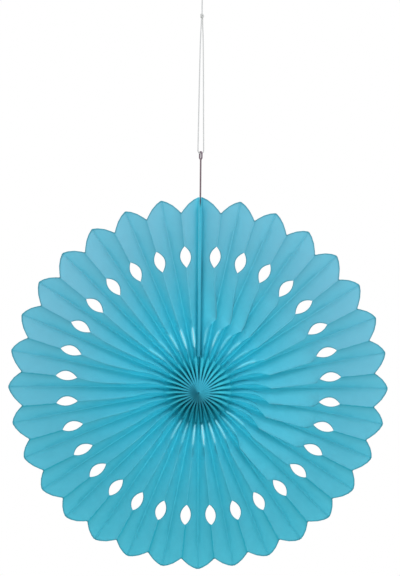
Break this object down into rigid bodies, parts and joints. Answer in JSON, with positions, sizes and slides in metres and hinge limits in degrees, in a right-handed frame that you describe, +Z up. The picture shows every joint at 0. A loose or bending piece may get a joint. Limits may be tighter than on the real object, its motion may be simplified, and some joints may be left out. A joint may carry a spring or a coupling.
{
  "type": "paper fan medallion",
  "caption": "Hanging tissue paper fan medallion, pleated full circle, with scalloped petals, lens-shaped windows, long slits, a wire hanger and a thread loop",
  "frame": {"origin": "where the hook carries the thread's upper loop, under the loop's top", "axes": "+Z up along the hanging thread, -Y out of the front of the fan, +X to the right of someone who faces the front"},
  "size_m": [0.4, 0.0211, 0.6133],
  "materials": {
    "teal_tissue": "thin turquoise tissue paper, matt and slightly see-through",
    "teal_card": "turquoise card strip, matt",
    "dark_wire": "dark plastic-coated wire, satin",
    "white_thread": "white twisted cotton thread"
  },
  "bodies": {
    "root": {"tissue_fan": "teal_tissue", "end_card_left": "teal_card", "end_card_right": "teal_card", "hanger_wire": "dark_wire", "thread_knot": "white_thread", "thread_loop": "white_thread", "hook_loop": "white_thread"}
  },
  "joints": []
}
